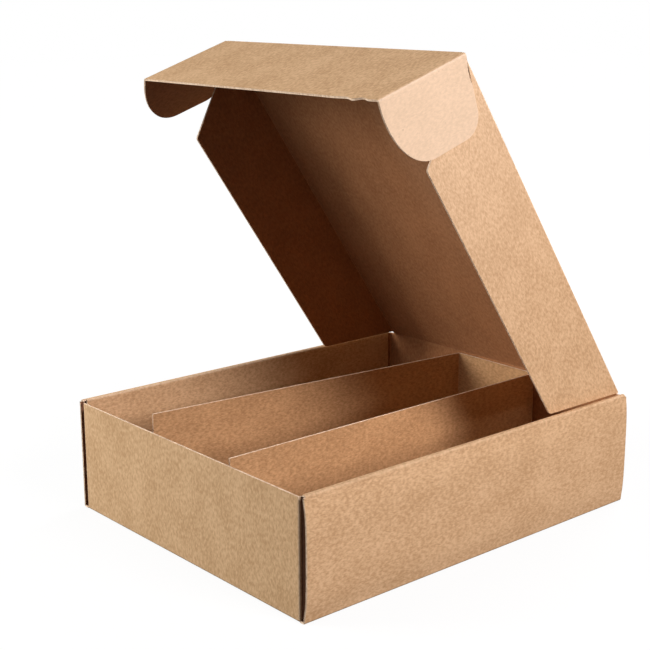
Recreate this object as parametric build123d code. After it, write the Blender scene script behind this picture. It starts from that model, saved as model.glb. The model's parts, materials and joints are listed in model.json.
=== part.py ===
"""Shipping box for three bottles, folded from thin corrugated board, with its lid half open.

Frame: origin at the middle of the box's underside, +Z up, +X to the right seen from the front,
-Y the front wall, +Y the back wall that carries the lid. Sizes are in millimetres.

The box is one creased sheet. It is modelled as a tray, a lid, a tuck flap and the tuck flap's left
ear, which part only at the creases where they turn. The bottle divider is a second sheet.
"""
from build123d import *
from math import cos, radians, tan
import os

os.makedirs("parts", exist_ok=True)

# Board
board = 1.5              # thickness of the corrugated board
fold_radius = 0.4        # inside radius of a crease
layer_gap = 0.2          # air between two layers of a double wall
crease_gap = 0.3         # air at a crease that turns, between its round and the next panel
panel_gap = 0.4          # air between the cut edge of one panel and the face of the next

# Tray
base_width = 284.0       # across the outer side panels
base_length = 345.0      # front wall to back wall
base_height = 92.5       # underside to the rolled tops of the side walls
side_setback = 0.6       # the outer side panels' raw ends lie this far behind the end walls
dust_ear_length = 78.0   # ear of the front or back wall, inside the double side wall
ear_slant_run = 1.5      # behind its crease, such an ear slants outwards over this length
bow_front = 2.8          # the right outer panel bulges this far at its front end
bow_rear = 1.7           # and this far at its rear end
tab_length = 42.0        # tabs of the inner side panels, in the slots of the floor
tab_spacing = 190.0      # between the middles of a side's two tabs
slot_gap = 0.3           # air round a tab in its slot

# Lid and its side flaps
lid_angle = 55.5         # the lid's rise above level, as the box stands
ear_wall_gap = 0.4       # between a tucked ear and the side wall
ear_flap_gap = 0.35      # between a tucked ear and the lid's side flap
tuck_gap = 1.0           # between the shut tuck flap's crease and the front wall
side_flap_floor_gap = 20.1   # from the shut lid's side flaps down to the table
rear_cut_slope = 0.735   # run of a side flap's rear cut along the lid, for each mm of its depth
rear_cut_start = 1.6     # where that cut starts, from the hinge
front_cut_start = 5.5    # where a side flap's front cut starts, from the tuck flap's crease
front_cut_reach = 45.0   # where it ends, at the flap's free edge
flap_front_corner = 1.5  # radius of the side flaps' front free corner
flap_rear_corner = 2.0   # and of their rear one

# Tuck flap and its ears
tuck_angle = 105.8       # between the lid and the tuck flap, as the box stands
tuck_ratio = 0.56        # degrees that the tuck flap opens for each degree of the lid
tuck_floor_gap = 7.0     # the tuck flap is this much shorter than the box is high
ear_depth = 56.5         # from the tuck flap to an ear's straight edge
ear_straight = 38.0      # length of the rounded lower corner along the tuck flap
ear_corner = 16.0        # radius of an ear's upper outer corner
ear_relief = 1.3         # depth of the shallow hollow in its upper edge
ear_relief_start = 4.0   # from the tuck flap to that hollow
ear_relief_length = 19.0
left_ear_splay = 33.0    # the left ear springs out this far from square

# Divider
divider_half = 44.5      # from the middle of the box to a divider arm, at the back
divider_top_gap = 1.3    # between the divider's top edge and the shut lid
divider_seat = 0.2       # between the divider and the floor or the back wall
right_arm_setback = 12.4     # front wall's face to the right arm's front edge
left_arm_setback = 28.3      # front wall's face to the left arm's front edge
left_arm_splay = 6.05    # degrees that the left arm leans towards the left wall
relief_top_drop = 8.0    # the arms' front relief starts this far below their top edge
relief_gap = 2.0         # between that relief and the shut tuck flap

# Places that follow from the sizes
half_width = base_width / 2
half_length = base_length / 2
crease = fold_radius + board                       # outside radius of a crease
mid_radius = fold_radius + board / 2
lap = 2 * crease                                   # strips of one sheet run this far into each other
wall_depth = 3 * board + 2 * layer_gap             # a side wall: outer panel, ear, inner panel
outer_mid = half_width - board / 2
inner_mid = half_width - wall_depth + board / 2
inner_face = inner_mid - board / 2
end_wall_half = inner_face + board                 # their corner creases line up with the inner panels
dust_ear_mid = outer_mid - board - layer_gap
slant_start = half_length - board / 2 - crease     # the dust ears' slant, from the middle of the box
slant_end = slant_start - ear_slant_run
hinge_y = half_length - board / 2
hinge_z = base_height - board / 2
end_wall_top = hinge_z - board / 2 - crease_gap
lid_reach = base_length - 2 * board - tuck_gap     # hinge to the tuck flap's crease
ear_mid = half_width - wall_depth - ear_wall_gap - board / 2
lid_half = ear_mid - board / 2 - ear_flap_gap
side_flap_depth = hinge_z - side_flap_floor_gap
tuck_depth = base_height - tuck_floor_gap
tuck_shut_angle = tuck_angle - tuck_ratio * lid_angle
divider_top = hinge_z - board / 2 - divider_top_gap


def strip(points, plane):
    """Face of a board strip whose mid line runs through points, with round creases."""
    line = FilletPolyline(*points, radius=mid_radius)
    return plane * trace(line, line_width=board)


def between(low, high):
    """Box from its lowest to its highest corner."""
    size = [b - a for a, b in zip(low, high)]
    return Pos(*low) * Box(*size, align=(Align.MIN, Align.MIN, Align.MIN))


def along_y(face, front, back):
    """Solid of a face drawn in the XZ plane, carried from front to back."""
    return Pos(0, back, 0) * extrude(face, back - front)


def both_sides(solid):
    """A solid on the right with its mirror image on the left."""
    return solid + mirror(solid, about=Plane.YZ)


def bow_face(bulge, low, high):
    """Section of an outer side panel that stands out by bulge, most of it near its two creases."""
    steps = 8
    heights = [low + (high - low) * i / steps for i in range(steps + 1)]
    outs = [bulge * (1 - (2 * i / steps - 1) ** 4) for i in range(steps + 1)]
    outside = [(half_width + out, z) for out, z in zip(outs, heights)]
    inside = [(x - board, z) for x, z in outside]
    edges = Spline(*outside) + Line(outside[-1], inside[-1])
    edges += Spline(*inside) + Line(inside[0], outside[0])
    return Plane.XZ * make_face(edges)


def side_wall(front_bulge, rear_bulge):
    """Right side wall: outer panel, rolled top and inner panel, which stops just above the floor.

    The inner panel and its crease stop behind the slant of the dust ears, and the rolled top runs on."""
    front, back = -half_length + side_setback, half_length - side_setback
    low, high = crease + board, base_height - crease - board
    root = strip([(end_wall_half - lap, board / 2), (outer_mid, board / 2), (outer_mid, low)], Plane.XZ)
    wall = along_y(root, front, back)
    near = Pos(0, front, 0) * bow_face(front_bulge, low, high)
    far = Pos(0, back, 0) * bow_face(rear_bulge, low, high)
    wall += loft([near, far], ruled=True)
    wall += between((half_width - board, front, high), (half_width, back, base_height - crease))
    roll = strip([(inner_face + crease, hinge_z), (outer_mid, hinge_z), (outer_mid, high)], Plane.XZ)
    roll_half = half_length - board - panel_gap
    wall += along_y(roll, -roll_half, roll_half)
    inner = strip([(inner_mid, board + layer_gap), (inner_mid, hinge_z), (outer_mid - crease, hinge_z)],
                  Plane.XZ)
    inner_half = slant_end - board / 2
    return wall + along_y(inner, -inner_half, inner_half)


def side_pair(low, high):
    """Boxes at the places of the right side's two tabs, from a corner low to a corner high."""
    front = Pos(0, -tab_spacing / 2, 0) * between(low, high)
    return front + mirror(front, about=Plane.XZ)


def slot_tabs():
    """The right inner panel's two tabs, standing in their slots."""
    half_tab = tab_length / 2
    return side_pair((inner_face, -half_tab, slot_gap), (inner_face + board, half_tab, board + lap))


def floor_slots():
    """Holes of the floor on the right, one for each tab with its clearance."""
    low_x, half_slot = inner_face - slot_gap, tab_length / 2 + slot_gap
    return side_pair((low_x, -half_slot, -board), (low_x + board + 2 * slot_gap, half_slot, board))


def dust_ear():
    """Right end of the front wall: its upright crease, and the ear, which slants out to the outer panel."""
    wall_mid, corner_mid = -half_length + board / 2, end_wall_half - board / 2
    corner = strip([(end_wall_half - lap, wall_mid), (corner_mid, wall_mid), (corner_mid, -slant_start),
                    (dust_ear_mid, -slant_end), (dust_ear_mid, wall_mid + dust_ear_length)], Plane.XY)
    foot = board + panel_gap
    return Pos(0, 0, foot) * extrude(corner, end_wall_top - foot)


def make_base_tray():
    """Floor, end walls with their ears, and the double side walls, all one folded sheet."""
    wall_mid = half_length - board / 2
    length_section = strip([(-wall_mid, end_wall_top), (-wall_mid, board / 2),
                            (wall_mid, board / 2), (wall_mid, end_wall_top)], Plane.YZ)
    sheet = extrude(length_section, end_wall_half - crease, both=True)
    front_ears = both_sides(dust_ear())
    sheet += front_ears + mirror(front_ears, about=Plane.XZ)
    sheet += side_wall(bow_front, bow_rear) + mirror(side_wall(0, 0), about=Plane.YZ)
    return sheet - both_sides(floor_slots()) + both_sides(slot_tabs())


def make_lid():
    """Lid panel with its two side flaps, drawn shut with the hinge at the origin."""
    panel_front = -(lid_reach - board / 2 - crease_gap)
    flap_mid = lid_half - board / 2
    section = strip([(-flap_mid, -side_flap_depth), (-flap_mid, 0), (flap_mid, 0),
                     (flap_mid, -side_flap_depth)], Plane.XZ)
    sheet = along_y(section, panel_front, 0)
    under = -board / 2
    rear_reach = rear_cut_start + rear_cut_slope * side_flap_depth
    front_reach = lid_reach - front_cut_reach
    keep = Polyline((-rear_cut_start, under), (-rear_reach, -side_flap_depth),
                    (-front_reach, -side_flap_depth), (-(lid_reach - front_cut_start), under),
                    (-(lid_reach - front_cut_start), crease), (-rear_cut_start, crease), close=True)
    outline = make_face(keep)
    outline = fillet(outline.vertices().sort_by(Axis.Y)[0:2].sort_by(Axis.X)[0], flap_front_corner)
    outline = fillet(outline.vertices().sort_by(Axis.Y)[0:2].sort_by(Axis.X)[-1], flap_rear_corner)
    flaps_keep = extrude(Plane.YZ * outline, 2 * lid_half, both=True)
    panel_half = lid_half - crease
    panel_keep = between((-panel_half, -lid_reach, -board), (panel_half, 0, board))
    sheet = sheet & (flaps_keep + panel_keep)
    return sheet + Rot(0, 90, 0) * Cylinder(board / 2, 2 * panel_half)


def ear_outline():
    """Face of an ear, drawn on Y away from the tuck flap and on Z down from the lid's crease."""
    start, top = crease, -crease_gap
    relief_end = ear_relief_start + ear_relief_length
    corner_start, corner_end = (ear_depth - ear_corner, top), (ear_depth, top - ear_corner)
    round_middle = (start, ear_straight - tuck_depth)
    edges = Line((start, top), (ear_relief_start, top))
    edges += ThreePointArc((ear_relief_start, top), ((ear_relief_start + relief_end) / 2, top - ear_relief),
                           (relief_end, top))
    edges += Line((relief_end, top), corner_start)
    edges += RadiusArc(corner_start, corner_end, ear_corner)
    edges += Line(corner_end, (ear_depth, round_middle[1]))
    edges += EllipticalCenterArc(round_middle, ear_depth - start, ear_straight, start_angle=270, arc_size=90)
    edges += Line((start, -tuck_depth), (start, top))
    return Plane.YZ * make_face(edges)


def make_tuck_flap():
    """Tuck flap with its right ear, drawn hanging from its crease at the origin."""
    left_end = -(ear_mid - board / 2 - crease_gap)
    bend = strip([(left_end, 0), (ear_mid, 0), (ear_mid, lap)], Plane.XY)
    sheet = Pos(0, 0, -tuck_depth) * extrude(bend, tuck_depth)
    panel_half = lid_half - crease
    sheet -= both_sides(between((panel_half, -board, -crease_gap), (half_width, lap + board, board)))
    sheet += Pos(ear_mid - board / 2, 0, 0) * extrude(ear_outline(), board)
    return sheet + Rot(0, 90, 0) * Cylinder(board / 2, 2 * panel_half)


def make_left_ear():
    """Left ear, drawn square to the hanging tuck flap with its crease on the Z axis."""
    plate = Pos(-board / 2, 0, 0) * extrude(ear_outline(), board)
    plate += between((-board / 2, 0, -tuck_depth), (board / 2, crease, -crease_gap))
    middle_z = -(tuck_depth + crease_gap) / 2
    return plate + Pos(0, 0, middle_z) * Cylinder(board / 2, tuck_depth - crease_gap)


def make_divider():
    """Divider: a back panel between two upright arms that part the box into three bays."""
    back_mid = half_length - board - divider_seat - board / 2
    left_run = back_mid + half_length - left_arm_setback
    left_front_x = -divider_half - left_run * tan(radians(left_arm_splay))
    left_front = (left_front_x, -half_length + left_arm_setback)
    right_front = (divider_half, -half_length + right_arm_setback)
    section = strip([left_front, (-divider_half, back_mid), (divider_half, back_mid), right_front],
                    Plane.XY)
    foot = board + divider_seat
    sheet = Pos(0, 0, foot) * extrude(section, divider_top - foot)
    shut_face = board + tuck_gap + board + tuck_depth * cos(radians(tuck_shut_angle))
    relief_top = divider_top - relief_top_drop
    relief_foot = -half_length + shut_face + relief_gap
    wedge = make_face(Polyline((-half_length, relief_top), (-half_length + right_arm_setback, relief_top),
                               (relief_foot, foot), (relief_foot, 0), (-half_length, 0), close=True))
    return sheet - extrude(Plane.YZ * wedge, half_width, both=True)


lid_place = Pos(0, hinge_y, hinge_z) * Rot(-lid_angle, 0, 0)
tuck_place = lid_place * Pos(0, -lid_reach, 0) * Rot(90 - tuck_angle, 0, 0)
left_ear_place = tuck_place * Pos(-ear_mid, 0, 0) * Rot(0, 0, left_ear_splay)

parts = {
    "base_tray": make_base_tray(),
    "divider_insert": make_divider(),
    "lid": lid_place * make_lid(),
    "tuck_flap": tuck_place * make_tuck_flap(),
    "left_ear": left_ear_place * make_left_ear(),
}

for name, shape in parts.items():
    export_step(shape, f"parts/{name}.step")
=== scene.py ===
"""Bottle shipping box of brown corrugated board: the sheets as they are creased, cut and folded."""
import json
import bpy
import numpy as np
from mathutils import Matrix, Vector


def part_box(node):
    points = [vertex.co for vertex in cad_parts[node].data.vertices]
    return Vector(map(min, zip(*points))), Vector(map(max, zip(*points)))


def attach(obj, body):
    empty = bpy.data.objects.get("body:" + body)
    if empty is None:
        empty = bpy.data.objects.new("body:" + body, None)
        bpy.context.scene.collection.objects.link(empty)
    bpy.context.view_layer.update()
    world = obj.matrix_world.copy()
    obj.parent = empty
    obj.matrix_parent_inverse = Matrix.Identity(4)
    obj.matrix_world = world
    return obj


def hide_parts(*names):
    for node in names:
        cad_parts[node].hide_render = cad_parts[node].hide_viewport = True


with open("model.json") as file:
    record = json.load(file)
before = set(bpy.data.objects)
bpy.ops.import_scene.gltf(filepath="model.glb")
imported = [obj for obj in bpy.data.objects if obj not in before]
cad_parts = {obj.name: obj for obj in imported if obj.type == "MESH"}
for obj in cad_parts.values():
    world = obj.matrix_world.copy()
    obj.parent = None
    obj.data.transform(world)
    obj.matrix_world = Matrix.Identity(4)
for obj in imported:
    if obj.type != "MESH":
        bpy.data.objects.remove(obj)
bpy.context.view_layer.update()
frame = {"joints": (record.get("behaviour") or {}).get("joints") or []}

# Tray
# The middle of the box's one sheet: floor, front and back wall with their dust ears, and the two side
# walls, each rolled over the ears into a double wall. It is die-cut and creased brown board, held
# only by its folds and by four tabs of the inner side panels that stand in slots of the floor.
tray_low, tray_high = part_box("base_tray")
half_width = -tray_low.x
half_length = tray_high.y
tray_height = tray_high.z
board = 0.0015                      # thickness of the corrugated board
skin_offset = board / 2             # from the middle of the board to either liner
bend_radius = 0.00115               # radius of a crease at the middle of the board
outer_round = bend_radius + skin_offset
flute_pitch = 0.0033                # from one flute of the board's middle to the next
layer_gap = 0.0002                  # air between the layers of a double wall
end_wall_foot = outer_round         # the end walls' flat part starts this high
end_wall_top = 0.0907               # and ends here, but for the hinged part of the back wall
side_setback = 0.0006               # outer side panels stop this far behind the end walls
rolled_setback = board + 0.0004     # rolled top and inner panels stop this far behind them
dust_ear_length = 0.078
ear_slant_run = 0.0015              # a dust ear slants outwards over this length, behind its crease
outer_panel_mid = half_width - skin_offset
inner_panel_mid = half_width - 2.5 * board - 2 * layer_gap
dust_ear_mid = half_width - board - layer_gap - skin_offset
end_wall_mid = half_length - skin_offset
corner_fold_mid = inner_panel_mid    # the end walls' corner folds are in line with the inner panels
front_fold_insets = (0.0024, 0.0012)    # the front wall's own folds, left and right, are this far in
dust_ear_drop = 0.0065              # the front left dust ear's top lies this much lower
floor_seam = corner_fold_mid - bend_radius    # the floor passes into the side walls here
slant_start = end_wall_mid - outer_round
slant_end = slant_start - ear_slant_run
side_top_mid = tray_height - skin_offset
bow_front, bow_rear = 0.0028, 0.0017    # how far the right outer panel bulges, at its two ends
tab_middle, tab_half, slot_gap = 0.095, 0.021, 0.0003
step_run = 0.00001                  # length over which a cut steps from one width to another
past_end = 9                        # a length beyond the end of every sheet
arc_steps = 8                       # straight steps in the arc of a fold
skin_rows = 25                      # rows of points across a sheet
wear_width = 0.0006                 # how far a fold's wear reaches to its sides
wear_end = 0.0016                   # a sheet has a row here, outside a fold, where its wear ends
wear_steps = np.array([0.0004, 0.0009, 0.0017])    # rows beside a fold that runs along the sheet


def bell(x, middle, width):
    """A bell curve: e to minus the square of the distance from its middle over its width."""
    return np.exp(-((x - middle) / width) ** 2)


def corner_rise(reach, end, radius):
    """How far a rounded corner stands back from its edge: a circle's rise over the last radius
    before its end."""
    into = np.clip(reach - end + radius, 0, radius)
    return radius - np.sqrt(radius ** 2 - into ** 2)


def quarter_rows(length, count):
    """Places from length down to 0, spaced as evenly turned points of a quarter circle are."""
    return length * (1 - np.sin(np.linspace(0, np.pi / 2, count)))


def from_crease(crease, *moves):
    """Points that lie away from a crease by each length along its axis."""
    for length, axis in moves:
        crease = crease + np.asarray(length)[..., None] * axis
    return crease


def edge_kinds(**kinds):
    """Edges that are of one kind for their whole length, by side."""
    return [(side, 0, past_end, kind) for side, kind in kinds.items()]


def folded_line(corners):
    """Middle line of a folded strip: straight runs, with an arc of bend_radius at each inner corner.
    An arc is its first spoke turned about its centre by even shares of the whole turn.
    Gives the points, the length along the line at each, and the length at the middle of each fold."""
    corners = np.array(corners, float)
    runs = [corners[:1]]
    for before, corner, after in zip(corners[:-2], corners[1:-1], corners[2:]):
        back = (before - corner) / np.linalg.norm(before - corner)
        ahead = (after - corner) / np.linalg.norm(after - corner)
        half_turn = (np.pi - np.arccos(back @ ahead)) / 2
        middle = (back + ahead) / np.linalg.norm(back + ahead)
        centre = corner + middle * bend_radius / np.cos(half_turn)
        spoke = corner + back * bend_radius * np.tan(half_turn) - centre
        side = np.sign(back[1] * ahead[0] - back[0] * ahead[1])
        angle = side * np.linspace(0, 2 * half_turn, arc_steps + 1)[:, None]
        square = np.array([-spoke[1], spoke[0]])
        runs.append(centre + np.cos(angle) * spoke + np.sin(angle) * square)
    runs.append(corners[-1:])
    points = np.concatenate(runs)
    length = np.concatenate([[0], np.cumsum(np.linalg.norm(np.diff(points, axis=0), axis=1))])
    folds = length[1 + arc_steps // 2:-1:arc_steps + 1]
    return points, length, folds


def along(line, s):
    """Both coordinates of a folded line at lengths s, straight between its points."""
    points, length, _ = line
    return np.interp(s, length, points[:, 0]), np.interp(s, length, points[:, 1])


def mid_surface(place, s, t):
    """Points of a sheet's middle at s along its line and t across it, and the unit normals: the cross
    product of a small step along s with one along t."""
    step = 0.00008
    by_s = place(s + step, t) - place(s - step, t)
    by_t = place(s, t + step) - place(s, t - step)
    normal = np.cross(by_s, by_t)
    return place(s, t), normal / np.linalg.norm(normal, axis=-1, keepdims=True)


def grid_faces(points, flat, wear, turned, slot, smooth, keep=None):
    """One patch of a piece: a grid of points with a quad in each cell, or in those that keep names."""
    rows, columns = points.shape[:2]
    index = np.arange(rows * columns).reshape(rows, columns)
    quads = np.stack([index[:-1, :-1], index[1:, :-1], index[1:, 1:], index[:-1, 1:]], -1)
    quads = quads[keep] if keep is not None else quads.reshape(-1, 4)
    quads = quads[:, ::-1] if turned else quads
    return {"points": points.reshape(-1, 3), "flat": flat.reshape(-1, 2), "wear": wear.ravel(),
            "quads": quads, "slot": slot, "smooth": smooth}


def raw_edge(place, s, t, inward_sign, kind, across_path, wear):
    """Edge of a sheet along the points s, t of its outline.

    A cut edge has the two liners flush and, between them, the fluted middle as a sine wave along the
    edge, with the hollows on both sides of the wave pressed in. Its heights are shares of half the
    board. A round edge is half a circle, and a plain one is flat."""
    points_per_flute, longest_step = 8, 0.004
    steps = np.abs(np.diff(s if across_path else t)) * points_per_flute / flute_pitch
    steps += np.hypot(np.diff(s), np.diff(t)) / longest_step
    count = np.concatenate([[0], np.cumsum(steps)])
    even = np.union1d(count, np.arange(0, count[-1], 1.0))
    even = even[np.concatenate([[True], np.diff(even) > 0.01])] if kind == "cut" else count
    s, t = np.interp(even, count, s), np.interp(even, count, t)
    point, normal = mid_surface(place, s, t)
    inward = inward_sign * np.cross(normal, np.gradient(point, axis=0))
    inward /= np.linalg.norm(inward, axis=-1, keepdims=True)
    zero, one = np.zeros_like(s), np.ones_like(s)
    if kind == "cut":
        liner, web, press = 0.70, 0.17, 0.00028
        wave = (liner - web) * np.sin(2 * np.pi * (s if across_path else t) / flute_pitch)
        below, above = wave - web + liner, liner - wave - web
        height = [-one, -liner * one, (wave - web - liner) / 2, wave - web,
                  wave + web, (wave + web + liner) / 2, liner * one, one]
        depth = [zero, zero, press * np.minimum(1, 2 * below), zero,
                 zero, press * np.minimum(1, 2 * above), zero, zero]
    elif kind == "round":
        angle = np.linspace(-np.pi / 2, np.pi / 2, arc_steps + 1)
        height = [np.sin(a) * one for a in angle]
        depth = [-skin_offset * np.cos(a) * one for a in angle]
    else:
        height, depth = [-one, one], [zero, zero]
    height, depth = np.stack(height, 1)[..., None], np.stack(depth, 1)[..., None]
    points = point[:, None] + skin_offset * height * normal[:, None] + depth * inward[:, None]
    flat = np.stack([s, t] if not across_path else [t, s], -1)[:, None] + 0 * points[..., :2]
    return grid_faces(points, flat, wear(s, t)[:, None] + 0 * height[..., 0], inward_sign < 0,
                      0 if kind == "round" else 1, kind == "round")


def folded_sheet(place, s, low, high, edges, across_path, inner, shares=None, holes=(), folds=(),
                 t_folds=(), outer_papers=((0, 0),), inner_paper=2, highlight_paint=lambda a, b: 0):
    """Patches of one folded sheet: both liners, offset by half the board from its middle surface, and
    its edges. s is the lengths along its folded line, low and high the cut lines as functions of s,
    and edges holds side, first s, last s and kind of each stretch of its outline. across_path says
    that the flutes lie square to the folded line, and inner which side of the middle surface has the
    inner liner. A hole is its first and last s and t. A fold is its s and its mark: how worn it is,
    which fades from it as a bell, and below 0 a painted shade line. t_folds are the ones at a t.
    outer_papers holds the s from which each paper covers the outer liner, and its material slot, and
    the last argument, a function of s and t, adds a painted highlight over whole panels to the marks."""
    shares = np.linspace(0, 1, skin_rows) if shares is None else shares
    bottom, top = low(s), high(s)
    if t_folds:
        near = wear_steps / (top - bottom).max()
        shares = np.unique(np.concatenate([shares, near, 1 - near]))
    across = bottom[:, None] + (top - bottom)[:, None] * shares
    length = s[:, None] + 0 * across

    def wear(a, b):
        marks = [worn * bell(a, fold, wear_width) for fold, worn in folds]
        marks += [worn * bell(b, fold, wear_width) for fold, worn in t_folds]
        return sum(marks, highlight_paint(a, b) + 0 * (a + b))

    point, normal = mid_surface(place, length, across)
    keep = np.ones((len(s) - 1, len(shares) - 1), bool)
    s_middle = (length[1:, 1:] + length[:-1, :-1]) / 2
    t_middle = (across[1:, 1:] + across[:-1, :-1]) / 2
    for s0, s1, t0, t1 in holes:
        keep &= ~((s_middle > s0) & (s_middle < s1) & (t_middle > t0) & (t_middle < t1))
    flat = np.stack([across, length] if across_path else [length, across], -1)
    patches = []
    for side in (1, -1):
        papers = ((0, inner_paper),) if side == inner else outer_papers
        starts = np.searchsorted(s, [start - step_run / 2 for start, _ in papers]).tolist()
        for (_, slot), first, last in zip(papers, starts, starts[1:] + [len(s) - 1]):
            rows = slice(first, last + 1)
            patches.append(grid_faces((point + side * skin_offset * normal)[rows], flat[rows],
                                      wear(length, across)[rows], side < 0, slot, True,
                                      keep[first:last]))
    for side, first, last, kind in edges:
        picked = (s >= first) & (s <= last)
        if side in ("low", "high"):
            edge_s, edge_t = s[picked], (bottom if side == "low" else top)[picked]
        else:
            edge_t = across[0 if side == "start" else -1]
            edge_s = s[0 if side == "start" else -1] + 0 * edge_t
        sign = 1 if side in ("low", "end") else -1
        patches.append(raw_edge(place, edge_s, edge_t, sign, kind, across_path, wear))
    for s0, s1, t0, t1 in holes:
        run_s, run_t = np.linspace(s0, s1, 3), np.linspace(t0, t1, 3)
        for edge_s, edge_t, sign in ((run_s, t1 + 0 * run_s, 1), (run_s, t0 + 0 * run_s, -1),
                                     (s1 + 0 * run_t, run_t, -1), (s0 + 0 * run_t, run_t, 1)):
            patches.append(raw_edge(place, edge_s, edge_t, sign, "plain", across_path, wear))
    return patches


def board_piece(name, patches, materials, node, body):
    """One mesh of all the patches, with the flat blank's metres as its UV map, standing for a node."""
    sizes = np.cumsum([0] + [len(patch["points"]) for patch in patches])
    points = np.concatenate([patch["points"] for patch in patches])
    quads = np.concatenate([patch["quads"] + size for patch, size in zip(patches, sizes)])
    counts = [len(patch["quads"]) for patch in patches]
    mesh = bpy.data.meshes.new(name)
    mesh.vertices.add(len(points))
    mesh.vertices.foreach_set("co", points.astype(np.float32).ravel())
    mesh.loops.add(quads.size)
    mesh.loops.foreach_set("vertex_index", quads.astype(np.int32).ravel())
    mesh.polygons.add(len(quads))
    mesh.polygons.foreach_set("loop_start", np.arange(0, quads.size, 4, dtype=np.int32))
    mesh.polygons.foreach_set("material_index", np.repeat([patch["slot"] for patch in patches], counts))
    mesh.polygons.foreach_set("use_smooth", np.repeat([patch["smooth"] for patch in patches], counts))
    mesh.update(calc_edges=True)
    flat = np.concatenate([patch["flat"] for patch in patches])
    mesh.uv_layers.new(name="blank").data.foreach_set("uv", flat[quads.ravel()].ravel())
    wear = np.concatenate([patch["wear"] for patch in patches])
    mesh.attributes.new("fold_wear", "FLOAT", "POINT").data.foreach_set("value", wear)
    for material in materials:
        mesh.materials.append(material)
    piece = bpy.data.objects.new(name, mesh)
    bpy.context.scene.collection.objects.link(piece)
    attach(piece, body)
    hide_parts(node)


def grid_lines(line, *extra):
    """Lengths along a folded line at which its sheet gets a row: its points, any extra lengths, and
    one just outside each fold, where its wear ends."""
    lengths = np.concatenate([line[1], line[2] - wear_end, line[2] + wear_end]
                             + [np.atleast_1d(each) for each in extra])
    return np.unique(np.round(lengths[(lengths >= 0) & (lengths <= line[1][-1])], 8))


def fold_marks(line, *worn):
    """The folds of a line, each with its mark: how worn it is, and below 0 how dark its painted shade
    line is.
    """
    return list(zip(line[2], worn))


def paper(name, deep, pale, worn, grain):
    """Kraft paper on the blank's own metres. Its tone is the sum of three noises, each drawn out along
    the grain: clouds a few centimetres wide, blotches of a few millimetres and fibres. Few small dark
    flecks lie on it. Folds are paler by the mark, which is wear with any painted highlight added, and
    darker where the mark is below 0, as a painted shade line. The flutes show as a faint sine relief.
    grain shifts the noises, so that no two papers are alike."""
    material = bpy.data.materials.new(name)
    material.use_nodes = True
    tree = material.node_tree
    new, link = tree.nodes.new, tree.links.new
    shader = tree.nodes["Principled BSDF"]
    shader.inputs["Roughness"].default_value = 0.88
    shader.inputs["Specular IOR Level"].default_value = 0.25
    blank = new("ShaderNodeUVMap")
    blank.uv_map = "blank"

    def math(operation, a, b):
        node = new("ShaderNodeMath")
        node.operation = operation
        for socket, value in zip(node.inputs, (a, b)):
            if isinstance(value, (int, float)):
                socket.default_value = value
            else:
                link(value, socket)
        return node.outputs[0]

    def noise(scale, stretch, detail, shift):
        mapping = new("ShaderNodeMapping")
        mapping.inputs["Location"].default_value = (shift, shift, grain)
        mapping.inputs["Scale"].default_value = (1, 1 / stretch, 1)
        texture = new("ShaderNodeTexNoise")
        texture.inputs["Scale"].default_value = scale
        texture.inputs["Detail"].default_value = detail
        link(blank.outputs[0], mapping.inputs[0])
        link(mapping.outputs[0], texture.inputs["Vector"])
        return texture.outputs[0]

    def mix(factor, first, second):
        node = new("ShaderNodeMix")
        node.data_type = "RGBA"
        link(factor, node.inputs[0])
        for socket, value in ((node.inputs[6], first), (node.inputs[7], second)):
            if isinstance(value, tuple):
                socket.default_value = (*value, 1)
            else:
                link(value, socket)
        return node.outputs[2]

    clouds, blotches = noise(45, 1.8, 2, 0.3), noise(420, 1.7, 2, 1.7)
    fibres, specks = noise(1100, 3.0, 1, 2.9), noise(620, 1.5, 1, 5.1)
    tone = math("ADD", math("MULTIPLY", clouds, 0.7), math("MULTIPLY", blotches, 1.4))
    tone = math("ADD", tone, math("MULTIPLY", fibres, 1.1))
    tone = math("ADD", math("MULTIPLY", math("SUBTRACT", tone, 1.6), 1.6), 0.5)
    tone = math("MAXIMUM", math("MINIMUM", tone, 1), 0)
    flecks = math("MULTIPLY", math("MAXIMUM", math("SUBTRACT", specks, 0.72), 0), 6)
    # The mark is wear with a painted highlight added, which pales the colour, and below 0 a painted shade
    # line, which darkens it.
    wear = new("ShaderNodeAttribute")
    wear.attribute_name = "fold_wear"
    wear_and_highlight_share = math("MULTIPLY", wear.outputs["Fac"], math("ADD", math("MULTIPLY", fibres, 0.6), 0.2))
    colour = mix(tone, deep, pale)
    colour = mix(flecks, colour, tuple(0.45 * value for value in deep))
    painted_shade_share = math("MAXIMUM", math("MULTIPLY", wear.outputs["Fac"], -0.6), 0)
    colour = mix(painted_shade_share, colour, tuple(0.40 * value for value in deep))
    link(mix(wear_and_highlight_share, colour, worn), shader.inputs["Base Color"])
    split = new("ShaderNodeSeparateXYZ")
    link(blank.outputs[0], split.inputs[0])
    flutes = math("SINE", math("MULTIPLY", split.outputs[1], 2 * np.pi / flute_pitch), 0)
    relief = math("ADD", math("MULTIPLY", fibres, 0.6), math("MULTIPLY", blotches, 0.8))
    relief = math("ADD", relief, math("MULTIPLY", flutes, 0.10))
    bump = new("ShaderNodeBump")
    bump.inputs["Strength"].default_value = 0.5
    bump.inputs["Distance"].default_value = 0.00012
    link(relief, bump.inputs["Height"])
    link(bump.outputs[0], shader.inputs["Normal"])
    return material


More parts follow.
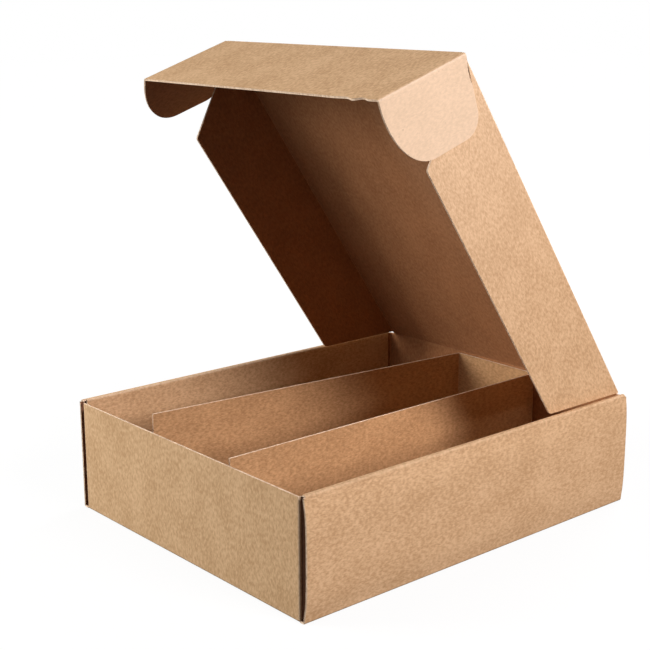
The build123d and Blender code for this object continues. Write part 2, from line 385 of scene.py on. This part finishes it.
kraft = paper("kraft_liner", (0.480, 0.287, 0.144), (0.668, 0.436, 0.249), (0.86, 0.66, 0.47), 0.0)
kraft_cut = paper("kraft_cut_edge", (0.62, 0.44, 0.30), (0.86, 0.68, 0.52), (0.86, 0.68, 0.52), 3.0)
# The inner liner: a darker, redder copy of the kraft on the box's inside faces. Its darkness is partly
# the liner's own tone and partly painted shade of the box's inside.
kraft_inner_with_shade = paper("kraft_inner_liner", (0.284, 0.119, 0.0475), (0.40, 0.177, 0.0755),
                    (0.62, 0.38, 0.225), 5.0)
# A near-black copy of the kraft that is painted shade. It covers the liners inside the double walls, the
# dust ears' outer faces and the side walls' inner faces, which are seen only in the slits at the tray's
# corners.
kraft_painted_shade = paper("kraft_between_walls", (0.13, 0.055, 0.030), (0.19, 0.085, 0.045),
                   (0.19, 0.085, 0.045), 9.0)
# A paler, less red copy of the kraft that is a painted highlight, for the outer face of the tuck flap's
# right ear, nearest the key lamp.
kraft_rubbed = paper("kraft_rubbed", (0.665, 0.492, 0.338), (0.755, 0.557, 0.388),
                     (0.84, 0.68, 0.53), 11.0)
board_materials = (kraft, kraft_cut, kraft_inner_with_shade, kraft_painted_shade, kraft_rubbed)

floor_line = folded_line([(-end_wall_mid, end_wall_foot), (-end_wall_mid, skin_offset),
                          (end_wall_mid, skin_offset), (end_wall_mid, end_wall_foot)])


def floor_place(s, t):
    """The floor's line gives y and z, and t is x."""
    y, z = along(floor_line, s)
    return np.stack([t, y, z], -1)


# The floor's folds at the feet of the end walls carry marks below 0: painted shade lines.
tray = folded_sheet(floor_place, grid_lines(floor_line), lambda s: -floor_seam + 0 * s,
                    lambda s: floor_seam + 0 * s,
                    edge_kinds(low="plain", high="plain", start="plain", end="plain"),
                    True, -1, folds=fold_marks(floor_line, -1, -1))

lid_joint, tuck_joint, ear_joint = (next(joint for joint in frame["joints"] if joint["name"] == name)
                                    for name in ("lid_hinge", "tuck_flap_fold", "left_ear_fold"))
hinge = np.array(lid_joint["pos_m"], float)
lid_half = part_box("lid")[1].x
lid_panel_half = lid_half - outer_round    # the lid's own panel, between the rounds of its side flaps

for end in (-1, 1):
    # An inset fold also draws the two ends of the ear's slant back, each by a smaller share of it.
    halves = [[(dust_ear_mid, end_wall_mid - dust_ear_length),
               (dust_ear_mid, slant_end - inset / 3),
               (corner_fold_mid - inset, slant_start - inset / 8),
               (corner_fold_mid - inset, end_wall_mid)]
              for inset in (front_fold_insets if end < 0 else (0, 0))]
    wall_line = folded_line([(end * x, end * y) for x, y in halves[0]]
                            + [(-end * x, end * y) for x, y in halves[1][::-1]])
    wall_middle = wall_line[1][-1] / 2
    hinge_steps = [wall_middle + side * (lid_panel_half + shift) for side in (-1, 1)
                   for shift in (-step_run, step_run)]
    ear_ends = [wall_line[2][2] - 0.001, wall_line[2][3] + 0.001]    # 1 mm outside the corner folds
    wall_rows = grid_lines(wall_line, hinge_steps, ear_ends[0] - step_run, ear_ends,
                           np.linspace(0.09, 0.34, 11))

    def wall_place(s, t):
        """The end wall's line gives x and y, and t is the height."""
        x, y = along(wall_line, s)
        return np.stack([x, y, t + 0 * x], -1)

    def wall_top(s):
        """The back wall reaches the hinge line between the lid's folds, and lies lower elsewhere. The
        front left dust ear is cut lower still, to clear the tuck flap's ear when the lid is shut."""
        hinged = (end > 0) & (np.abs(s - wall_middle) < lid_panel_half)
        lowered = (end < 0) & (s < ear_ends[0] - step_run / 2)
        return np.where(hinged, hinge[2], end_wall_top - dust_ear_drop * lowered)

    # The outer liner of the dust ears, up to 1 mm outside the corner folds, takes slot 3, the painted
    # shade.
    tray += folded_sheet(wall_place, wall_rows, lambda s: end_wall_foot + 0 * s, wall_top,
                         edge_kinds(low="plain", high="cut", start="cut", end="cut"),
                         False, -1, folds=fold_marks(wall_line, 0, 0, 1.2, 1.0, 0, 0),
                         outer_papers=((0, 3), (ear_ends[0], 0), (ear_ends[1], 3)))

slot_y = [middle + reach for middle in (-tab_middle, tab_middle)
          for reach in (-tab_half - slot_gap, tab_half + slot_gap)]
panel_half_length = half_length - side_setback
slot_shares = np.union1d(np.linspace(0, 1, skin_rows), (np.array(slot_y) / panel_half_length + 1) / 2)
slot_s = (inner_panel_mid - skin_offset - slot_gap - floor_seam,
          inner_panel_mid + skin_offset + slot_gap - floor_seam)
slots = [(*slot_s, *slot_y[:2]), (*slot_s, *slot_y[2:])]
inner_half_length = slant_end - skin_offset     # the inner panels stop behind the slant of the ears

for side in (-1, 1):
    side_line = folded_line([(floor_seam, skin_offset), (outer_panel_mid, skin_offset),
                             (outer_panel_mid, side_top_mid), (inner_panel_mid, side_top_mid),
                             (inner_panel_mid, board + layer_gap)])
    heights, lengths = side_line[0][:, 1], side_line[1]
    roll_start = lengths[np.argmax(heights > side_top_mid - bend_radius - step_run)]
    inner_start = lengths[np.flatnonzero(heights > side_top_mid - step_run)[-1]]
    bow_low, bow_high = outer_round + board, tray_height - outer_round - board

    def side_place(s, t):
        """The side wall's line gives x and z, and t is y. The right outer panel bulges by one less
        the fourth power of its height from the middle, times a bow that runs evenly to its rear."""
        x, z = along(side_line, s)
        height = np.clip(2 * (z - bow_low) / (bow_high - bow_low) - 1, -1, 1)
        bow = np.interp(t, (-half_length, half_length), (bow_front, bow_rear)) * (1 - height ** 4)
        return np.stack([side * (x + bow * (s < roll_start) * (side > 0)), t + 0 * x, z], -1)

    def side_reach(s):
        """Half the length: of the outer panel, the rolled top, and the inner panel with its fold."""
        return np.select([s < roll_start + step_run, s < inner_start + step_run],
                         [panel_half_length, half_length - rolled_setback], inner_half_length)

    def tab_place(s, t):
        """A flat strip in the inner panel's plane: s is the height, and t is y."""
        return np.stack([side * inner_panel_mid + 0 * s, t + 0 * s, s + 0 * t], -1)

    panel_rows = roll_start - (bow_high - bow_low) * np.linspace(0.02, 1.04, 22)
    # The side sheet's first fold, at the wall's foot, carries a mark below 0: a painted shade line.
    cuts = [roll_start + 2 * step_run, inner_start + 2 * step_run, *slot_s]
    # The side sheet's inner liner, which lies inside its double wall, takes slot 3, the painted shade.
    tray += folded_sheet(side_place, grid_lines(side_line, panel_rows, cuts),
                         lambda s: -side_reach(s), side_reach,
                         [("low", 0, roll_start, "cut"), ("high", 0, roll_start, "cut"),
                          ("low", roll_start, past_end, "cut"), ("high", roll_start, past_end, "cut"),
                          *edge_kinds(start="plain", end="cut")],
                         False, side, slot_shares, slots, fold_marks(side_line, -0.8, 0.35, 1.0),
                         inner_paper=3)
    for middle in (-tab_middle, tab_middle):
        tray += folded_sheet(tab_place, np.array([slot_gap, board + layer_gap]),
                             lambda s: middle - tab_half + 0 * s, lambda s: middle + tab_half + 0 * s,
                             edge_kinds(low="cut", high="cut", start="cut"), False, 0)

board_piece("tray_sheet", tray, board_materials, "base_tray", "tray")

# Divider
# A second, loose sheet that parts the tray into three bays: a back panel against the back wall and
# two upright arms, of the same thin board with its flutes upright. It only stands in the tray.
divider_low, divider_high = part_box("divider_insert")
arm_half = 0.0445                    # from the middle of the box to an arm, at the back
divider_back = divider_high.y - skin_offset
divider_foot, divider_top = divider_low.z, divider_high.z
left_arm_setback, right_arm_setback = 0.0283, 0.0124    # from the tray's front to an arm's end
left_arm_front = (divider_low.x + skin_offset, -half_length + left_arm_setback)
right_arm_front = (arm_half, -half_length + right_arm_setback)
relief_top = divider_top - 0.008     # the arms' front ends slope back from here, clear of the tuck
relief_foot = -half_length + 0.0288  # flap, and meet the floor here
divider_line = folded_line([left_arm_front, (-arm_half, divider_back), (arm_half, divider_back),
                            right_arm_front])


def divider_place(s, t):
    """The divider's line gives x and y, and t is the height."""
    x, y = along(divider_line, s)
    return np.stack([x, y, t + 0 * x], -1)


def divider_bottom(s):
    """Lower edge: on the floor, and rising in a straight line where the front relief is cut."""
    _, y = along(divider_line, s)
    slope = (relief_top - divider_foot) / (relief_foot - right_arm_front[1])
    return divider_foot + np.clip((relief_foot - y) * slope, 0, relief_top - divider_foot)


divider_length = divider_line[1][-1]
# An arm has rows a few millimetres apart at its front, where the relief is cut, and fewer behind.
arm_rows = np.concatenate([np.linspace(0, 0.03, 7), np.linspace(0.05, 0.29, 13)])
divider = folded_sheet(divider_place, grid_lines(divider_line, arm_rows, divider_length - arm_rows),
                       divider_bottom, lambda s: divider_top + 0 * s,
                       edge_kinds(low="cut", high="cut", start="cut", end="cut"),
                       True, 0, folds=fold_marks(divider_line, 0.6, 0.6))
divider_paper = paper("divider_liner", (0.38, 0.205, 0.092), (0.56, 0.320, 0.155),
                      (0.80, 0.58, 0.42), 7.0)
board_piece("divider_sheet", divider, (divider_paper, kraft_cut), "divider_insert", "tray")

# Lid
# The rear of the box's sheet, of the same creased board: a panel that turns at the back wall's top
# crease, with a side flap on each side that slips in beside the tray's inner walls. Both flaps are
# cut back at a slant at both ends.
tuck_crease = np.array(tuck_joint["pos_m"], float)
x_axis = np.array([1.0, 0.0, 0.0])
lid_along = (tuck_crease - hinge) / np.linalg.norm(tuck_crease - hinge)
lid_inward = np.cross(x_axis, lid_along)
lid_reach = np.linalg.norm(tuck_crease - hinge)
side_flap_depth = 0.07165
rear_cut_start, rear_cut_slope = 0.0012, 0.685    # from the hinge, and its run for its depth
front_cut_start, front_cut_reach = 0.0055, 0.045    # from the front crease, at the two ends of the cut
front_corner, rear_corner = 0.0015, 0.002    # radii of the side flaps' free corners
notch_depth, notch_slope, notch_start = 0.0055, 0.282, 0.0042    # notch in the right flap's front cut
lid_line = folded_line([(-lid_half + skin_offset, side_flap_depth), (-lid_half + skin_offset, 0),
                        (lid_half - skin_offset, 0), (lid_half - skin_offset, side_flap_depth)])


def lid_place(s, t):
    """The lid's line gives x and the depth of the flaps, and t runs from the hinge to the front."""
    x, depth = along(lid_line, s)
    return from_crease(hinge, (x, x_axis), (depth, lid_inward), (t, lid_along))


def on_lid_panel(x, depth):
    """Whether a point is on the lid's own panel, between the rounds of its side flaps."""
    return (np.abs(x) <= lid_panel_half) & (depth < step_run)


def lid_rear(s):
    """Rear cut lines: the panel's crease, and straight slants over the flaps."""
    x, depth = along(lid_line, s)
    cut = rear_cut_start + rear_cut_slope * depth + corner_rise(depth, side_flap_depth, rear_corner)
    return np.where(on_lid_panel(x, depth), 0, cut)


def lid_front(s):
    """Front cut lines, as at the rear. Behind the right ear's hollow edge the flap has a notch
    beside its fold."""
    x, depth = along(lid_line, s)
    cut = front_cut_start + (front_cut_reach - front_cut_start) * depth / side_flap_depth
    notch = np.maximum(cut, notch_start + depth / notch_slope)
    cut = np.where((x > 0) & (depth < notch_depth), notch, cut)
    cut = lid_reach - cut - corner_rise(depth, side_flap_depth, front_corner)
    return np.where(on_lid_panel(x, depth), lid_reach, cut)


lid_length = lid_line[1][-1]
panel_end = lid_length / 2 - lid_panel_half
inner_end = panel_end + step_run
outer_end = lid_length - inner_end
flap_rows = np.concatenate([quarter_rows(rear_corner, 7),
                            np.linspace(0.006, side_flap_depth - 0.004, 12)])
notch_rows = lid_length - side_flap_depth + np.append(np.linspace(0.0012, notch_depth - step_run, 11),
                                                      notch_depth + step_run)
lid_rows = grid_lines(lid_line, flap_rows, lid_length - flap_rows, notch_rows,
                      np.linspace(0.09, lid_length - 0.09, 9),
                      [panel_end - step_run, inner_end, outer_end, outer_end + 2 * step_run])
# On the lid's right half the colour pales more and more towards the front crease: a painted highlight of
# the key lamp, added to the fold marks.
lid = folded_sheet(lid_place, lid_rows, lid_rear, lid_front,
                   [("low", 0, inner_end, "cut"), ("high", 0, inner_end, "cut"),
                    ("low", inner_end, outer_end, "round"), ("high", inner_end, outer_end, "round"),
                    ("low", outer_end, past_end, "cut"), ("high", outer_end, past_end, "cut"),
                    *edge_kinds(start="cut", end="cut")],
                   False, 1, folds=fold_marks(lid_line, 0.8, 0.8),
                   highlight_paint=lambda a, b: 0.6 * np.clip(b / lid_reach, 0, 1) ** 2 * (a > lid_length / 2),
                   t_folds=((0, 0.6), (lid_reach, 0.8)))
board_piece("lid_sheet", lid, board_materials, "lid", "lid")

# Tuck flap
# The front of the lid, of the same board, folded down so that it slips in behind the front wall. Its
# right ear stands square to it, outside the lid's side flap. The free edge is cut, and torn a little
# near its right end.
ear_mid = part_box("tuck_flap")[1].x - skin_offset
tuck_depth = 0.0855
crease_gap = 0.0003
ear_depth, ear_straight, ear_corner = 0.0565, 0.038, 0.016
ear_relief, ear_relief_start, ear_relief_length = 0.0013, 0.004, 0.019    # an ear's hollow upper edge
tear_height = 0.0020                # the torn nick's two bells, of which one stands out and one in
tear_out, tear_out_width = 0.1125, 0.0040
tear_in, tear_in_width = 0.1205, 0.0045
ripple_height, ripple_length = 0.0005, 0.0061    # and the ripple around it
ripple_middle, ripple_reach = 0.112, 0.028
ear_axis = np.array(ear_joint["axis"], float)
tuck_down = -ear_axis / np.linalg.norm(ear_axis)
tuck_inward = np.cross(x_axis, tuck_down)
tuck_line = folded_line([(-ear_mid, 0), (ear_mid, 0), (ear_mid, ear_depth)])


def tuck_place(s, t):
    """The flap's line gives x and the reach of its right ear, and t runs down from the crease."""
    x, w = along(tuck_line, s)
    return from_crease(tuck_crease, (x, x_axis), (w, tuck_inward), (t, tuck_down))


def ear_top(w):
    """Upper edge of an ear: straight, with a shallow parabola cut out of it and a quarter circle at
    its end."""
    place = np.clip((w - ear_relief_start) / ear_relief_length, 0, 1)
    return crease_gap + 4 * ear_relief * place * (1 - place) + corner_rise(w, ear_depth, ear_corner)


def ear_bottom(w):
    """Lower edge of an ear: a quarter of an ellipse, from the tuck flap's edge up to its side."""
    share = np.clip((w - outer_round) / (ear_depth - outer_round), 0, 1)
    return tuck_depth - ear_straight * (1 - np.sqrt(1 - share ** 2))


def tuck_top(s):
    """Upper edge: the crease between the lid's folds, and the ear's beside it."""
    x, w = along(tuck_line, s)
    return np.where((np.abs(x) < lid_panel_half) & (w < step_run), 0, ear_top(w))


def tuck_bottom(s):
    """Free edge: the ear's curve, or the panel's cut. That has a torn nick, two narrow bells of which
    one stands out and one in, and around it a sine ripple that fades as a wide bell."""
    x, w = along(tuck_line, s)
    torn = tear_height * bell(x, tear_out, tear_out_width) - tear_height * bell(x, tear_in, tear_in_width)
    torn += ripple_height * np.sin(x / ripple_length) * bell(x, ripple_middle, ripple_reach)
    return np.where(w < step_run, tuck_depth + torn, ear_bottom(w))


tuck_length = tuck_line[1][-1]
ear_rows = quarter_rows(ear_depth - outer_round, 25)    # from an ear's free side, closest there
# The panel has a row at each millimetre where its free edge is torn, and fewer elsewhere.
panel_rows = np.concatenate([np.linspace(0.01, 0.21, 11), np.linspace(0.215, 0.268, 54)])
edge_s = ear_mid - lid_panel_half
steps = [edge_s - step_run, edge_s + step_run,
         ear_mid + lid_panel_half - step_run, ear_mid + lid_panel_half + step_run]
# The right ear's outer liner, past its fold, takes slot 4, the painted highlight.
tuck = folded_sheet(tuck_place, grid_lines(tuck_line, tuck_length - ear_rows, panel_rows, steps),
                    tuck_top, tuck_bottom,
                    [("low", 0, steps[1], "plain"), ("low", steps[1], steps[2], "round"),
                     ("low", steps[2], past_end, "cut"),
                     *edge_kinds(high="cut", start="round", end="cut")],
                    False, 1, folds=fold_marks(tuck_line, 0.8), t_folds=((0, 0.8),),
                    outer_papers=((0, 0), (tuck_line[2][0], 4)))
board_piece("tuck_flap_sheet", tuck, board_materials, "tuck_flap", "tuck_flap")

# Left ear
# The tuck flap's other ear, cut from the same board to the same outline. Its crease is all that holds
# it, and with the lid open it springs out of square there.
left_ear_splay = np.radians(33.0)
ear_crease = np.array(ear_joint["pos_m"], float)
ear_out = np.cos(left_ear_splay) * tuck_inward - np.sin(left_ear_splay) * x_axis


def left_ear_place(s, t):
    """A flat panel: s runs out from the ear's crease, and t down along it."""
    return from_crease(ear_crease, (s, ear_out), (t, tuck_down))


left_ear = folded_sheet(left_ear_place, np.union1d(0, ear_depth - ear_rows), ear_top, ear_bottom,
                        edge_kinds(low="cut", high="cut", start="round", end="cut"),
                        False, -1, folds=((0, 0.6),))
board_piece("left_ear_sheet", left_ear, board_materials, "left_ear", "left_ear")

# Floor, light and view
# A white table under soft studio light from the right, the front and behind, seen from the front
# right corner.
table_mesh = bpy.data.meshes.new("table")
table_half = 6.0
table_mesh.from_pydata([(-table_half, -table_half, 0), (table_half, -table_half, 0),
                        (table_half, table_half, 0), (-table_half, table_half, 0)],
                       [], [(0, 1, 2, 3)])
table = bpy.data.objects.new("table", table_mesh)
bpy.context.scene.collection.objects.link(table)


def seen_ray(tree):
    """1 for rays of the camera and of mirrors and glass, and 0 for the rays that carry the light."""
    path = tree.nodes.new("ShaderNodeLightPath")
    seen = path.outputs["Is Camera Ray"]
    for other in ("Is Glossy Ray", "Is Transmission Ray"):
        either = tree.nodes.new("ShaderNodeMath")
        either.operation = "MAXIMUM"
        tree.links.new(seen, either.inputs[0])
        tree.links.new(path.outputs[other], either.inputs[1])
        seen = either.outputs[0]
    return seen


# The table is white to the seen rays by its own glow. Near the box the glow is a little lower, so that
# the lamps' light, and the box's shadow in it, still show.
table_paint = bpy.data.materials.new("table_white")
table_paint.use_nodes = True
tree = table_paint.node_tree
table_shader = tree.nodes["Principled BSDF"]
table_shader.inputs["Base Color"].default_value = (0.08, 0.08, 0.08, 1)
table_shader.inputs["Roughness"].default_value = 1.0
table_shader.inputs["Specular IOR Level"].default_value = 0.0
table_shader.inputs["Emission Color"].default_value = (1, 1, 1, 1)
where = tree.nodes.new("ShaderNodeTexCoord")
distance = tree.nodes.new("ShaderNodeVectorMath")
distance.operation = "LENGTH"
tree.links.new(where.outputs["Object"], distance.inputs[0])
fade = tree.nodes.new("ShaderNodeMapRange")
fade.interpolation_type = "SMOOTHSTEP"
fade.inputs["From Min"].default_value = 0.25
fade.inputs["From Max"].default_value = 0.9
fade.inputs["To Min"].default_value = 0.92
fade.inputs["To Max"].default_value = 1.0
tree.links.new(distance.outputs["Value"], fade.inputs["Value"])
glow = tree.nodes.new("ShaderNodeMath")
glow.operation = "MULTIPLY"
tree.links.new(fade.outputs[0], glow.inputs[0])
tree.links.new(seen_ray(tree), glow.inputs[1])
tree.links.new(glow.outputs[0], table_shader.inputs["Emission Strength"])
table_mesh.materials.append(table_paint)

world = bpy.data.worlds.new("studio")
bpy.context.scene.world = world
world.use_nodes = True
tree = world.node_tree
room = tree.nodes["Background"]
room.inputs["Color"].default_value = (1.0, 0.97, 0.93, 1)
room.inputs["Strength"].default_value = 0.02
backdrop = tree.nodes.new("ShaderNodeBackground")
backdrop.inputs["Color"].default_value = (1, 1, 1, 1)
either = tree.nodes.new("ShaderNodeMixShader")
tree.links.new(seen_ray(tree), either.inputs[0])
tree.links.new(room.outputs[0], either.inputs[1])
tree.links.new(backdrop.outputs[0], either.inputs[2])
tree.links.new(either.outputs[0], tree.nodes["World Output"].inputs["Surface"])


def soft_box(name, place, target, size, power, colour):
    """Square area lamp at a place, turned to face a target."""
    lamp = bpy.data.lights.new(name, "AREA")
    lamp.size = size
    lamp.energy = power
    lamp.color = colour
    lamp_object = bpy.data.objects.new(name, lamp)
    lamp_object.location = place
    lamp_object.rotation_euler = (Vector(target) - Vector(place)).to_track_quat("-Z", "Y").to_euler()
    bpy.context.scene.collection.objects.link(lamp_object)


soft_box("key_light", (1.50, 0.15, 0.90), (0.05, 0.0, 0.2), 0.70, 31.5, (1.0, 0.94, 0.945))
soft_box("front_light", (-1.00, -1.20, 0.70), (0.0, -0.1, 0.1), 0.8, 25.2, (1.0, 1.0, 0.97))
soft_box("low_light", (-0.40, -1.45, 0.55), (0.0, -0.1, 0.1), 0.8, 5.3, (1.0, 1.0, 0.97))
soft_box("back_light", (-0.50, 1.90, 1.00), (0.0, 0.1, 0.15), 0.9, 30.0, (1.0, 1.0, 1.0))

photo_pixels = 650
focal_pixels = 1345.8
azimuth, elevation, roll = np.radians((49.277, 14.216, -0.165))
camera_place = (0.7795, -0.7021, 0.4187)
back = np.array([np.sin(azimuth) * np.cos(elevation), -np.cos(azimuth) * np.cos(elevation),
                 np.sin(elevation)])
level = np.array([np.cos(azimuth), np.sin(azimuth), 0.0])
upright = np.cross(back, level)
right = level * np.cos(roll) + upright * np.sin(roll)
up = upright * np.cos(roll) - level * np.sin(roll)
camera_data = bpy.data.cameras.new("camera")
camera_data.sensor_width = 36.0
camera_data.lens = camera_data.sensor_width * focal_pixels / photo_pixels
camera = bpy.data.objects.new("camera", camera_data)
camera_turn = Matrix(np.stack([right, up, back], 1).tolist()).to_4x4()
camera.matrix_world = Matrix.Translation(camera_place) @ camera_turn
bpy.context.scene.collection.objects.link(camera)
bpy.context.scene.camera = camera
bpy.context.scene.view_settings.view_transform = "Standard"
